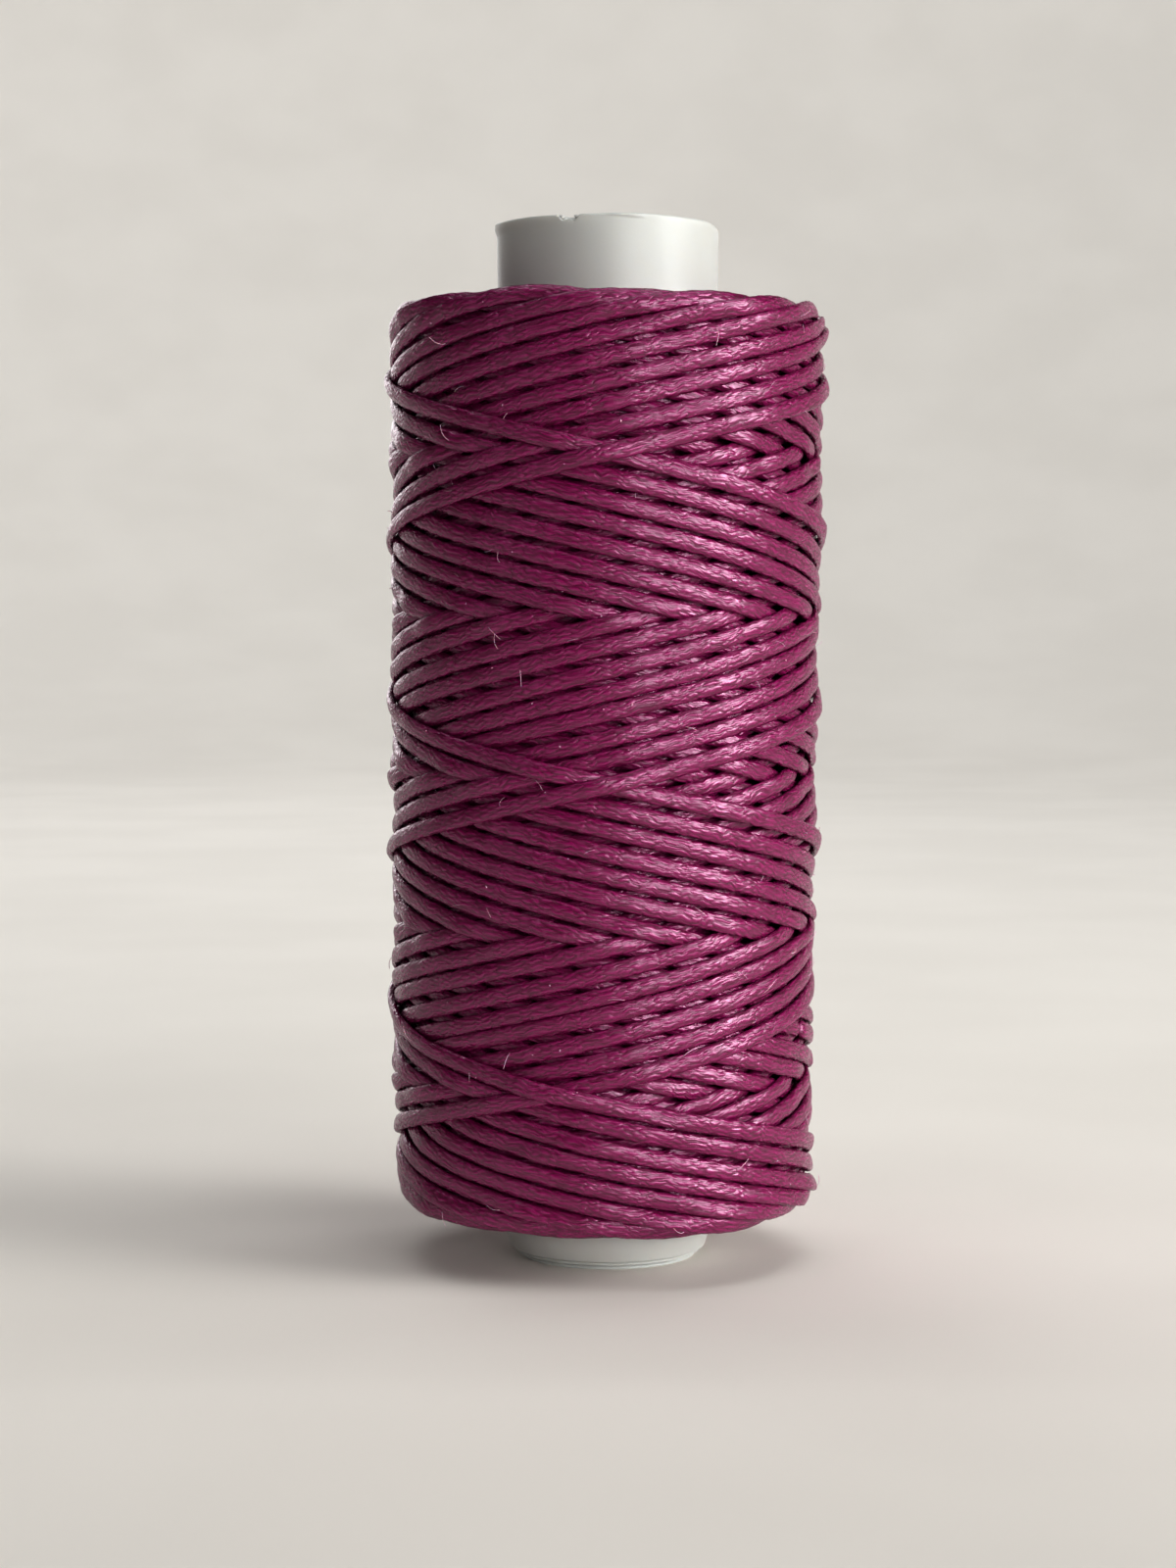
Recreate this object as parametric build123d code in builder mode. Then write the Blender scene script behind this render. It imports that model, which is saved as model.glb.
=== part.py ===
from build123d import *
import os

# A small spool of flat waxed thread: a moulded plastic core tube and one long
# thread, cross-wound on it. Millimetres, +Z up along the tube's axis, with the
# origin on the surface that the tube's foot stands on.

os.makedirs("parts", exist_ok=True)

# ---- driving dimensions -----------------------------------------------------

tube_height = 50.0
bore_radius = 3.9

# The outside has a moulder's draft: it is widest at the open top.
tube_top_radius = 5.35
tube_low_radius = 5.02
tube_low_height = 1.5

# The foot rounds in and ends in two thin rings, each a step inside the last.
foot_edge_radius = 4.80
foot_edge_height = 0.46
outer_ring_radius = 4.55
outer_ring_height = 0.24
inner_ring_radius = 4.30
ring_rounding = 0.06

rim_rounding = 0.30
bore_chamfer = 0.20

# The thread is a flat braid, laid with its broad side on the package. Its
# length falls into inner layers and outer layers.
thread_thickness = 0.40
inner_layer_count = 8

# The package of thread leaves both ends of the tube bare.
package_bottom = 2.6
package_top = 46.3
package_top_radius = 10.55
package_low_radius = 10.20
package_rounding = 1.0


# ---- derived sizes ----------------------------------------------------------


def tube_radius(height):
    """The tube's outer radius at a height above its rounded foot."""
    draft = (tube_top_radius - tube_low_radius) / (tube_height - tube_low_height)
    return tube_low_radius + draft * (height - tube_low_height)


inner_layers_depth = inner_layer_count * thread_thickness

tube_at_bottom = tube_radius(package_bottom)
tube_at_top = tube_radius(package_top)
meeting_at_bottom = tube_at_bottom + inner_layers_depth
meeting_at_top = tube_at_top + inner_layers_depth


# ---- core tube --------------------------------------------------------------

with BuildPart() as core_tube:
    with BuildSketch(Plane.XZ) as tube_profile:
        with BuildLine():
            Polyline(
                (bore_radius, 0),
                (inner_ring_radius, 0),
                (inner_ring_radius, outer_ring_height),
                (outer_ring_radius, outer_ring_height),
                (outer_ring_radius, foot_edge_height),
                (foot_edge_radius, foot_edge_height),
            )
            TangentArc(
                (tube_low_radius, tube_low_height),
                (foot_edge_radius, foot_edge_height),
                tangent=(0, -1),
            )
            Polyline(
                (tube_low_radius, tube_low_height),
                (tube_top_radius, tube_height),
                (bore_radius, tube_height),
                (bore_radius, 0),
            )
        make_face()
        ring_lips = [
            tube_profile.vertices().sort_by_distance((inner_ring_radius, 0))[0],
            tube_profile.vertices().sort_by_distance((outer_ring_radius, outer_ring_height))[0],
        ]
        fillet(ring_lips, ring_rounding)
        rim_corner = tube_profile.vertices().sort_by_distance((tube_top_radius, tube_height))[0]
        fillet(rim_corner, rim_rounding)
        bore_corners = [
            tube_profile.vertices().sort_by_distance((bore_radius, 0))[0],
            tube_profile.vertices().sort_by_distance((bore_radius, tube_height))[0],
        ]
        chamfer(bore_corners, bore_chamfer)
    revolve(axis=Axis.Z)
core_tube.part.label = "core_tube"


# ---- thread: inner layers ---------------------------------------------------

with BuildPart() as inner_thread_layers:
    with BuildSketch(Plane.XZ) as inner_profile:
        with BuildLine():
            Polyline(
                (tube_at_bottom, package_bottom),
                (meeting_at_bottom, package_bottom),
                (meeting_at_top, package_top),
                (tube_at_top, package_top),
                close=True,
            )
        make_face()
    revolve(axis=Axis.Z)
inner_thread_layers.part.label = "inner_thread_layers"


# ---- thread: outer layers ---------------------------------------------------

with BuildPart() as outer_thread_layers:
    with BuildSketch(Plane.XZ) as outer_profile:
        with BuildLine():
            Polyline(
                (meeting_at_bottom, package_bottom),
                (package_low_radius, package_bottom),
                (package_top_radius, package_top),
                (meeting_at_top, package_top),
                close=True,
            )
        make_face()
        shoulders = [
            outer_profile.vertices().sort_by_distance((package_low_radius, package_bottom))[0],
            outer_profile.vertices().sort_by_distance((package_top_radius, package_top))[0],
        ]
        fillet(shoulders, package_rounding)
    revolve(axis=Axis.Z)
outer_thread_layers.part.label = "outer_thread_layers"


# ---- files ------------------------------------------------------------------

export_step(core_tube.part, "parts/core_tube.step")
export_step(inner_thread_layers.part, "parts/inner_thread_layers.step")
export_step(outer_thread_layers.part, "parts/outer_thread_layers.step")
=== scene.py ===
"""A small spool of flat waxed thread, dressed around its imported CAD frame.

The tube is a turned mesh with a softly rounded rim and a ringed foot. The thread is wound the way
a winding machine lays it: one flat braid goes up and down the tube, a little under three turns to
a stroke, each pass resting on the passes under it. Lengths in the classes are millimetres, and
meshes are made in metres in the frame's own axes.
"""

import logging
import math
from dataclasses import dataclass, field
from enum import Enum

import bpy
import numpy as np
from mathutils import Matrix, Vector

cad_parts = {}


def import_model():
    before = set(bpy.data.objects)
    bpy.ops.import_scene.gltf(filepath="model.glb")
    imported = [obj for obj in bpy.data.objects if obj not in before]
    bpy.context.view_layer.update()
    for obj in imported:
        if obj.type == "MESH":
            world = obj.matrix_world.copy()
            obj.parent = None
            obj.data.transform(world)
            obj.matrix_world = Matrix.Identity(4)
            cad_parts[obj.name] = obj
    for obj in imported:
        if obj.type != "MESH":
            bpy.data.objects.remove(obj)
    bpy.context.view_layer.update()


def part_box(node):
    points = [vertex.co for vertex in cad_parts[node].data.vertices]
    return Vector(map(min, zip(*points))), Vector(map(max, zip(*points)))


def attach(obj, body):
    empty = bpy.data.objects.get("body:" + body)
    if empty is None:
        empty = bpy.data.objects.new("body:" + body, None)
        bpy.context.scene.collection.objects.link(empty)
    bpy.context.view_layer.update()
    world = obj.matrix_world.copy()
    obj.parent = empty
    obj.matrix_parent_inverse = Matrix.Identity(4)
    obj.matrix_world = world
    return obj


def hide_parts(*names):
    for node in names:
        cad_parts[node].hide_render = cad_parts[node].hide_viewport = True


MM = 0.001
TURN = 2 * math.pi
LOG = logging.getLogger("thread_spool")


class Slot(Enum):
    """Names of material slots."""

    TUBE = "tube_plastic"
    THREAD = "waxed_thread"


class Depth(Enum):
    """How deep a length of the thread lies, and so how finely it is made."""

    INNER = "inner_thread"
    MIDDLE = "middle_thread"
    OUTER = "outer_thread"


# ---------------------------------------------------------------------------
# Node helpers
# ---------------------------------------------------------------------------


class NodeSheet:
    """A short way to write a node tree."""

    def __init__(self, tree: bpy.types.NodeTree) -> None:
        """Keeps the node tree that nodes are added to."""
        self.tree = tree

    def add(self, kind: str, **settings: object) -> bpy.types.Node:
        """Adds a node and sets its properties.

        Args:
            kind: The node's type name.
            settings: Properties of the node, by name.

        Returns:
            The new node.
        """
        node = self.tree.nodes.new(kind)
        for name, value in settings.items():
            setattr(node, name, value)
        return node

    def link(self, source: bpy.types.NodeSocket, target: bpy.types.NodeSocket) -> None:
        """Links an output to an input."""
        self.tree.links.new(source, target)

    def feed(self, target: bpy.types.NodeSocket, value: object) -> None:
        """Links a socket to an input, or sets the input's value.

        Args:
            target: The input.
            value: An output socket, or a plain value.
        """
        if isinstance(value, bpy.types.NodeSocket):
            self.link(value, target)
        else:
            target.default_value = value

    def fill(self, node: bpy.types.Node, inputs: dict[str | int, object]) -> bpy.types.Node:
        """Feeds several inputs of a node.

        Args:
            node: The node.
            inputs: Sockets or plain values, by the inputs' names or numbers.

        Returns:
            The same node.
        """
        for name, value in inputs.items():
            self.feed(node.inputs[name], value)
        return node

    def wired(self, kind: str, inputs: dict[str | int, object], **settings: object) -> bpy.types.Node:
        """Adds a node, sets its properties and feeds its inputs.

        Args:
            kind: The node's type name.
            inputs: Sockets or plain values, by the inputs' names or numbers.
            settings: Properties of the node, by name.

        Returns:
            The new node.
        """
        return self.fill(self.add(kind, **settings), inputs)

    def math(self, operation: str, *values: object) -> bpy.types.NodeSocket:
        """Works out a Math node's result from sockets or numbers."""
        return self.wired("ShaderNodeMath", dict(enumerate(values)), operation=operation).outputs[0]

    def times(self, first: object, second: object) -> bpy.types.NodeSocket:
        """Multiplies two sockets or numbers."""
        return self.math("MULTIPLY", first, second)

    def plus(self, first: object, second: object) -> bpy.types.NodeSocket:
        """Adds two sockets or numbers."""
        return self.math("ADD", first, second)

    def ramp(self, value: object, low: float, high: float, to_low: float = 0.0,
             to_high: float = 1.0) -> bpy.types.NodeSocket:
        """Adds a smooth Map Range.

        Args:
            value: What is mapped.
            low: The value that gives to_low.
            high: The value that gives to_high.
            to_low: The result at low.
            to_high: The result at high.

        Returns:
            The result's socket.
        """
        node = self.wired("ShaderNodeMapRange", dict(enumerate((value, low, high, to_low, to_high))),
                          interpolation_type="SMOOTHSTEP")
        return node.outputs["Result"]

    def noise(self, vector: object, scale: float, detail: float = 3.0,
              roughness: float = 0.5) -> bpy.types.NodeSocket:
        """Adds a Noise Texture.

        Args:
            vector: Where it is read.
            scale: Its scale.
            detail: Its octaves.
            roughness: How strong the fine octaves are.

        Returns:
            The noise's value.
        """
        node = self.wired("ShaderNodeTexNoise", {"Vector": vector, "Scale": scale, "Detail": detail,
                                                 "Roughness": roughness})
        return node.outputs["Fac"]

    def scaled(self, vector: object, scale: tuple[float, float, float]) -> bpy.types.NodeSocket:
        """Scales a coordinate along its own axes.

        Args:
            vector: The coordinate.
            scale: One factor for each axis.

        Returns:
            The scaled coordinate.
        """
        return self.wired("ShaderNodeVectorMath", {0: vector, 1: scale}, operation="MULTIPLY").outputs[0]

    def blend(self, share: object, low: object, high: object) -> bpy.types.NodeSocket:
        """Mixes two colours.

        Args:
            share: How much of the second colour there is.
            low: The first colour.
            high: The second colour.

        Returns:
            The mixed colour's socket.
        """
        return self.wired("ShaderNodeMix", {"Factor": share, 6: low, 7: high}, data_type="RGBA").outputs[2]

    def bump(self, shader: bpy.types.Node, height: bpy.types.NodeSocket, distance: float,
             strength: float = 1.0) -> None:
        """Gives a shader a fine relief.

        Args:
            shader: The shader.
            height: The relief's height.
            distance: How deep it is, in millimetres.
            strength: How strong it is, up to 1.
        """
        relief = self.wired("ShaderNodeBump", {"Height": height, "Distance": distance * MM,
                                               "Strength": strength})
        self.link(relief.outputs[0], shader.inputs["Normal"])


def new_material(name: str) -> tuple[bpy.types.Material, NodeSheet, bpy.types.Node]:
    """Makes a material with a bare Principled shader.

    Args:
        name: The material's name.

    Returns:
        The material, its node sheet and its Principled node.
    """
    material = bpy.data.materials.new(name)
    material.use_nodes = True
    sheet = NodeSheet(material.node_tree)
    return material, sheet, material.node_tree.nodes["Principled BSDF"]


def mesh_object(name: str, points: np.ndarray, faces: np.ndarray | list,
                material: bpy.types.Material | None = None) -> bpy.types.Object:
    """Makes a smooth mesh object at the origin.

    Args:
        name: The object's name.
        points: The vertices, in metres.
        faces: The faces, as rows of vertex numbers.
        material: The only material, if it has one.

    Returns:
        The new object, linked to the scene.
    """
    mesh = bpy.data.meshes.new(name)
    mesh.from_pydata(np.asarray(points).tolist(), [], np.asarray(faces).tolist()
                     if isinstance(faces, np.ndarray) else faces)
    mesh.polygons.foreach_set("use_smooth", np.ones(len(mesh.polygons), bool))
    mesh.update()
    made = bpy.data.objects.new(name, mesh)
    bpy.context.scene.collection.objects.link(made)
    if material:
        mesh.materials.append(material)
    return made


# ---------------------------------------------------------------------------
# Finishes
# ---------------------------------------------------------------------------


@dataclass(frozen=True)
class WaxedThreadFinish:
    """Flat polyester braid under a thin coat of wax.

    The UV map runs along the thread in U and round its section in V, both in millimetres, with V
    zero down the middle of the outer face. Two sets of strands lean across it, one each way, and
    pass over and under each other.
    """

    dye: tuple[float, float, float, float] = (0.262, 0.0075, 0.108, 1.0)
    # Partly the darker dye of some filaments, partly painted shade in the valleys between strands.
    deep_dye_and_crevice_shade: tuple[float, float, float, float] = (0.088, 0.0011, 0.026, 1.0)
    bloom: tuple[float, float, float, float] = (0.60, 0.25, 0.40, 1.0)
    strand_width: float = 0.24
    strand_lean: float = 13.0
    strand_roundness: float = 1.4
    drift_along: float = 2.4
    sway_across: float = 0.45
    relief_depth: float = 0.026
    uv_map: str = "along_thread"

    def strand(self, s: NodeSheet, along: bpy.types.NodeSocket, across: bpy.types.NodeSocket,
               side: int) -> tuple[bpy.types.NodeSocket, ...]:
        """Works out one set of strands.

        Args:
            s: The node sheet.
            along: The place along the thread.
            across: The place across it.
            side: 1 for strands that lean one way, -1 for the other.

        Returns:
            The place across the strand's set, the same along it, the strand's number, and the
            height of its round back.
        """
        lean = math.radians(self.strand_lean) * side
        over = s.math("SUBTRACT", s.times(across, math.cos(lean)), s.times(along, math.sin(lean)))
        run = s.plus(s.times(along, math.cos(lean)), s.times(across, math.sin(lean)))
        count = s.math("DIVIDE", over, self.strand_width)
        arch = s.math("SINE", s.times(s.math("FRACT", count), math.pi))
        return over, run, s.math("FLOOR", count), s.math("POWER", arch, self.strand_roundness)

    def make(self) -> bpy.types.Material:
        """Builds the material.

        Returns:
            The thread's material.
        """
        material, s, shader = new_material("plum_waxed_braid")
        place = s.add("ShaderNodeUVMap", uv_map=self.uv_map).outputs[0]
        axes = s.wired("ShaderNodeSeparateXYZ", {0: place})

        # A hand-fed braid isn't even: its strands drift along and across.
        drift = s.math("SUBTRACT", s.noise(s.scaled(place, (0.55, 0.0, 0.0)), 1.0, 2.0), 0.5)
        sway = s.math("SUBTRACT", s.noise(s.scaled(place, (1.3, 0.8, 0.0)), 1.0, 1.0), 0.5)
        along = s.plus(axes.outputs[0], s.times(drift, self.drift_along))
        across = s.plus(axes.outputs[1], s.times(sway, self.sway_across))

        right, right_run, right_number, right_back = self.strand(s, along, across, 1)
        left, left_run, left_number, left_back = self.strand(s, along, across, -1)
        parity = s.math("FLOORED_MODULO", s.plus(right_number, left_number), 2.0)
        top = s.math("GREATER_THAN", parity, 0.5)

        def pick(low: bpy.types.NodeSocket, high: bpy.types.NodeSocket) -> bpy.types.NodeSocket:
            """Takes the first value where the right strand is on top, or else the second."""
            return s.wired("ShaderNodeMix", {"Factor": top, 2: low, 3: high}, data_type="FLOAT").outputs[0]

        own_back, other_back = pick(right_back, left_back), pick(left_back, right_back)
        cell = s.wired("ShaderNodeCombineXYZ", {0: pick(right_number, left_number),
                                                1: pick(left_number, right_number)})
        chance = s.wired("ShaderNodeTexWhiteNoise", {"Vector": cell.outputs[0]}, noise_dimensions="2D")
        uneven = s.plus(s.times(chance.outputs["Value"], 0.6), 0.4)
        strands = s.times(s.times(own_back, other_back), uneven)

        # Filaments follow their own strand.
        fibre_place = s.wired("ShaderNodeCombineXYZ", {0: s.times(pick(right_run, left_run), 1.1),
                                                       1: s.times(pick(right, left), 14.0),
                                                       2: s.times(pick(right_number, left_number), 3.7)})
        filament = s.noise(fibre_place.outputs[0], 1.0, 2.0, 0.6)

        # The wax lies on them in broken smears.
        smear = s.noise(s.scaled(place, (1.1, 4.5, 1.0)), 1.0, 4.0, 0.65)
        patch = s.noise(s.scaled(place, (0.11, 0.6, 1.0)), 1.0, 2.0, 0.5)

        # Painted shade: the colour goes to the deep dye in the valleys between strands, where the strands'
        # backs are low. The filament noise adds the braid's own uneven tone.
        shade = s.plus(s.times(strands, 0.35), s.times(filament, 0.85))
        dye_with_crevice_shade = s.blend(s.ramp(shade, 0.32, 0.66), self.deep_dye_and_crevice_shade, self.dye)
        wax = s.times(s.ramp(smear, 0.55, 0.80), s.ramp(patch, 0.35, 0.7, 0.15, 0.9))
        gloss = s.ramp(s.plus(s.times(smear, 0.6), s.times(filament, 0.4)), 0.35, 0.66, 0.38, 0.17)
        s.fill(shader, {"Base Color": s.blend(s.times(wax, 0.12), dye_with_crevice_shade, self.bloom), "Roughness": gloss,
                        "Specular IOR Level": 1.0, "IOR": 1.56, "Specular Tint": (1.0, 0.66, 0.86, 1.0)})
        relief = s.plus(s.plus(s.times(strands, 1.1), s.times(filament, 0.7)), s.times(smear, 0.35))
        s.bump(shader, relief, self.relief_depth)
        return material


@dataclass(frozen=True)
class TubeFinish:
    """Satin moulded plastic that lets a little light into itself."""

    colour: tuple[float, float, float, float] = (0.57, 0.582, 0.562, 1.0)
    shaded: tuple[float, float, float, float] = (0.558, 0.562, 0.54, 1.0)

    def make(self) -> bpy.types.Material:
        """Builds the material.

        Returns:
            The tube's material.
        """
        material, s, shader = new_material("satin_tube_plastic")
        place = s.add("ShaderNodeTexCoord").outputs["Object"]
        flow = s.noise(s.scaled(place, (260.0, 260.0, 60.0)), 1.0, 3.0)
        grain = s.noise(place, 9000.0, 2.0)
        s.fill(shader, {"Base Color": s.blend(s.ramp(flow, 0.3, 0.7), self.shaded, self.colour),
                        "Roughness": s.ramp(flow, 0.3, 0.7, 0.36, 0.46), "Specular IOR Level": 0.45,
                        "Subsurface Weight": 0.35, "Subsurface Radius": (1.0, 0.9, 0.75),
                        "Subsurface Scale": 0.9 * MM})
        s.bump(shader, s.plus(grain, s.times(flow, 2.0)), 0.01, 0.25)
        return material


@dataclass(frozen=True)
class SpeckFinish:
    """Wax crumbs, loose filament ends and the thread's melted end."""

    name: str
    colour: tuple[float, float, float, float]
    roughness: float = 0.5

    def make(self) -> bpy.types.Material:
        """Builds the material.

        Returns:
            The material of the crumbs, filaments or melted end.
        """
        material, s, shader = new_material(self.name)
        place = s.add("ShaderNodeTexCoord").outputs["Object"]
        mottle = s.noise(place, 5000.0, 2.0)
        paler = tuple(min(1.0, 1.3 * c) for c in self.colour[:3]) + (1.0,)
        s.fill(shader, {"Base Color": s.blend(s.ramp(mottle, 0.3, 0.7), self.colour, paler),
                        "Roughness": self.roughness, "Subsurface Weight": 0.2,
                        "Subsurface Scale": 0.1 * MM})
        return material


# ---------------------------------------------------------------------------
# The core tube
# ---------------------------------------------------------------------------


@dataclass
class CoreTube:
    """The moulded tube: a drafted wall, a rounded rim with a nick in it, and a ringed foot."""

    height: float
    bore: float = 3.9
    top_radius: float = 5.35
    low_radius: float = 5.02
    low_height: float = 1.5
    foot_edge: tuple[float, float] = (4.80, 0.46)
    outer_ring: tuple[float, float] = (4.55, 0.24)
    inner_ring: float = 4.30
    rim_rounding: float = 0.11
    bore_chamfer: float = 0.20
    segments: int = 288
    nick_at: float = -20.5
    nick_width: float = 10.5
    nick_depth: float = 0.30
    burr_reach: float = 0.10
    burr_height: float = 0.05
    flash_thickness: float = 0.06
    wear: float = 0.22
    body: str = "root"
    pieces: list[bpy.types.Object] = field(default_factory=list)

    def wall_radius(self, height: np.ndarray | float) -> np.ndarray | float:
        """The outer radius of the drafted wall at a height."""
        draft = (self.top_radius - self.low_radius) / (self.height - self.low_height)
        return self.low_radius + draft * (height - self.low_height)

    def profile(self) -> np.ndarray:
        """The section of the wall.

        Returns:
            Points as (radius, height), from the bore's foot round the outside to its top.
        """
        lip, groove = 0.05, 0.12
        points = [(self.bore, self.bore_chamfer), (self.bore + self.bore_chamfer, 0.0)]

        def step(radius: float, low: float, high: float) -> None:
            """Adds one ring: a rounded lower lip, and a groove where it meets the next.

            Args:
                radius: The ring's radius.
                low: The height of its lower side.
                high: The height where the next ring starts.
            """
            for turn in np.linspace(-0.5 * math.pi, 0, 5):
                points.append((radius - lip + lip * math.cos(turn), low + lip + lip * math.sin(turn)))
            points.append((radius, high - groove))
            points.append((radius - groove, high - 0.8 * groove))
            points.append((radius - groove, high))

        step(self.inner_ring, 0.0, self.outer_ring[1])
        step(self.outer_ring[0], self.outer_ring[1], self.foot_edge[1])
        edge, low = self.foot_edge
        for turn in np.linspace(-0.5 * math.pi, 0, 5):
            points.append((edge - lip + lip * math.cos(turn), low + lip + lip * math.sin(turn)))
        for share in np.linspace(0.12, 1, 10):
            sweep = math.sin(0.5 * math.pi * share)
            points.append((edge + (self.low_radius - edge) * sweep,
                           low + lip + (self.low_height - low - lip) * share))
        for height in np.concatenate([np.linspace(self.low_height + 2, self.height - 1.2, 22),
                                      np.linspace(self.height - 1.1, self.height - self.rim_rounding, 18)]):
            points.append((self.wall_radius(height), height))
        for turn in np.linspace(0, 0.5 * math.pi, 9)[1:]:
            points.append((self.top_radius - self.rim_rounding * (1 - math.cos(turn)),
                           self.height - self.rim_rounding * (1 - math.sin(turn))))
        inner = self.bore + self.bore_chamfer
        for share in (0.25, 0.5, 0.75):
            points.append((self.top_radius - self.rim_rounding + share * (inner - self.top_radius
                           + self.rim_rounding), self.height))
        points.append((inner, self.height))
        points.append((self.bore, self.height - self.bore_chamfer))
        for share in (0.15, 0.4, 0.65, 0.9):
            points.append((self.bore, self.height * (1 - share)))
        return np.array(points)

    def build(self) -> bpy.types.Object:
        """Turns the section round the axis and works the rim.

        Returns:
            The tube's object.
        """
        profile = self.profile()
        angle = TURN * np.arange(self.segments) / self.segments
        radius = np.repeat(profile[None, :, 0], self.segments, 0)
        height = np.repeat(profile[None, :, 1], self.segments, 0)
        radius, height = self.work_rim(angle, radius, height)
        across, towards = np.sin(angle)[:, None], -np.cos(angle)[:, None]
        points = np.stack([radius * across, radius * towards, height], 2)
        count = len(profile)
        here = np.arange(self.segments)[:, None] * count
        there = np.roll(here, -1, 0)
        j = np.arange(count)[None, :]
        k = np.roll(j, -1, 1)
        faces = np.stack([here + j, there + j, there + k, here + k], 2).reshape(-1, 4)
        tube = mesh_object("core_tube_moulding", points.reshape(-1, 3) * MM, faces)
        self.pieces.append(tube)
        return tube

    def work_rim(self, angle: np.ndarray, radius: np.ndarray,
                 height: np.ndarray) -> tuple[np.ndarray, np.ndarray]:
        """Cuts the nick, raises the burr and the flash line, and wears the rim's right corner.

        Args:
            angle: The angle of each column, from the front towards the right.
            radius: The radius of each point.
            height: The height of each point.

        Returns:
            The changed radii and heights.
        """
        turn = np.degrees((angle + math.pi) % TURN - math.pi)[:, None]
        near_top = np.clip((height - (self.height - 1.0)) / 0.7, 0, 1)
        outside = np.clip((radius - 4.2) / 0.6, 0, 1)
        off = np.abs(turn - self.nick_at) / (0.5 * self.nick_width)
        ragged = 0.8 + 0.2 * np.sin(5.1 * turn) * np.cos(2.3 * turn)
        nick = np.clip(1.25 - off ** 4, 0, 1) * ragged
        cut = np.clip((height - self.height + 0.55) / 0.5, 0, 1)
        height = height - self.nick_depth * nick * outside * cut
        burr = np.exp(-((turn + 92) / 16) ** 2) + 0.5 * np.exp(-((turn + 60) / 26) ** 2)
        rim = np.clip((height - (self.height - 0.55)) / 0.3, 0, 1) * outside
        radius = radius + self.burr_reach * burr * rim
        height = height + self.burr_height * burr * rim
        line = self.height - 0.10 - 0.14 * np.clip((turn + 2) / 20, 0, 1)
        flash = np.exp(-((turn - 8) / 9.5) ** 6) * np.clip((height - line) / 0.05, 0, 1)
        radius = radius + self.flash_thickness * flash * outside
        worn = np.exp(-((turn - 82) / 30) ** 2) * np.clip((height - self.height + 0.45) / 0.45, 0, 1) ** 3
        radius = radius - self.wear * worn * outside
        wave = 0.02 * np.sin(np.radians(3 * turn + 40)) + 0.012 * np.sin(np.radians(7 * turn))
        return radius, height + wave * near_top

    def add_swarf(self, material: bpy.types.Material) -> None:
        """Leaves two small torn crumbs of plastic in the nick.

        Args:
            material: The crumbs' material.
        """
        rng = np.random.default_rng(11)
        points, faces = [], []
        for turn, lift, size in ((-24.8, 0.0, 0.16), (-16.6, 0.0, 0.14), (17.5, -0.02, 0.09)):
            a = math.radians(turn)
            r = self.top_radius - 0.16
            centre = np.array([r * math.sin(a), -r * math.cos(a), self.height - 0.12 + lift])
            bumpy, quads = lump(rng, size, 6, 8)
            start = sum(len(p) for p in points)
            points.append(bumpy + centre)
            faces += [tuple(start + v for v in quad) for quad in quads]
        crumbs = mesh_object("rim_crumbs", np.concatenate(points) * MM, faces, material)
        self.pieces.append(crumbs)

    def dress(self, finish: TubeFinish) -> None:
        """Gives the tube its finish and its place in the frame.

        Args:
            finish: The plastic's finish.
        """
        material = finish.make()
        self.add_swarf(material)
        tube = self.pieces[0]
        tube.data.materials.append(material)
        for piece in self.pieces:
            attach(piece, self.body)
        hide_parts("core_tube")


def lump(rng: np.random.Generator, size: float, rings: int, sides: int) -> tuple[np.ndarray, list]:
    """Makes a small uneven closed crumb.

    Args:
        rng: The seeded generator.
        size: Its radius.
        rings: Rings between its poles.
        sides: Sides of each ring.

    Returns:
        Its points, about the origin, and its faces.
    """
    points, faces = [np.array([0, 0, -0.6 * size])], []
    for ring in range(1, rings):
        lat = math.pi * ring / rings
        for side in range(sides):
            lon = TURN * side / sides
            grow = size * rng.uniform(0.75, 1.15)
            points.append(grow * np.array([math.sin(lat) * math.cos(lon), math.sin(lat) * math.sin(lon),
                                           -0.6 * math.cos(lat)]))
    points.append(np.array([0, 0, 0.6 * size]))
    last = len(points) - 1
    for side in range(sides):
        nxt = (side + 1) % sides
        faces.append((0, 1 + nxt, 1 + side))
        faces.append((last, last - sides + side, last - sides + nxt))
        for ring in range(rings - 2):
            a, b = 1 + ring * sides, 1 + (ring + 1) * sides
            faces.append((a + side, a + nxt, b + nxt, b + side))
    return np.array(points), faces


# ---------------------------------------------------------------------------
# The winding
# ---------------------------------------------------------------------------


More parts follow.
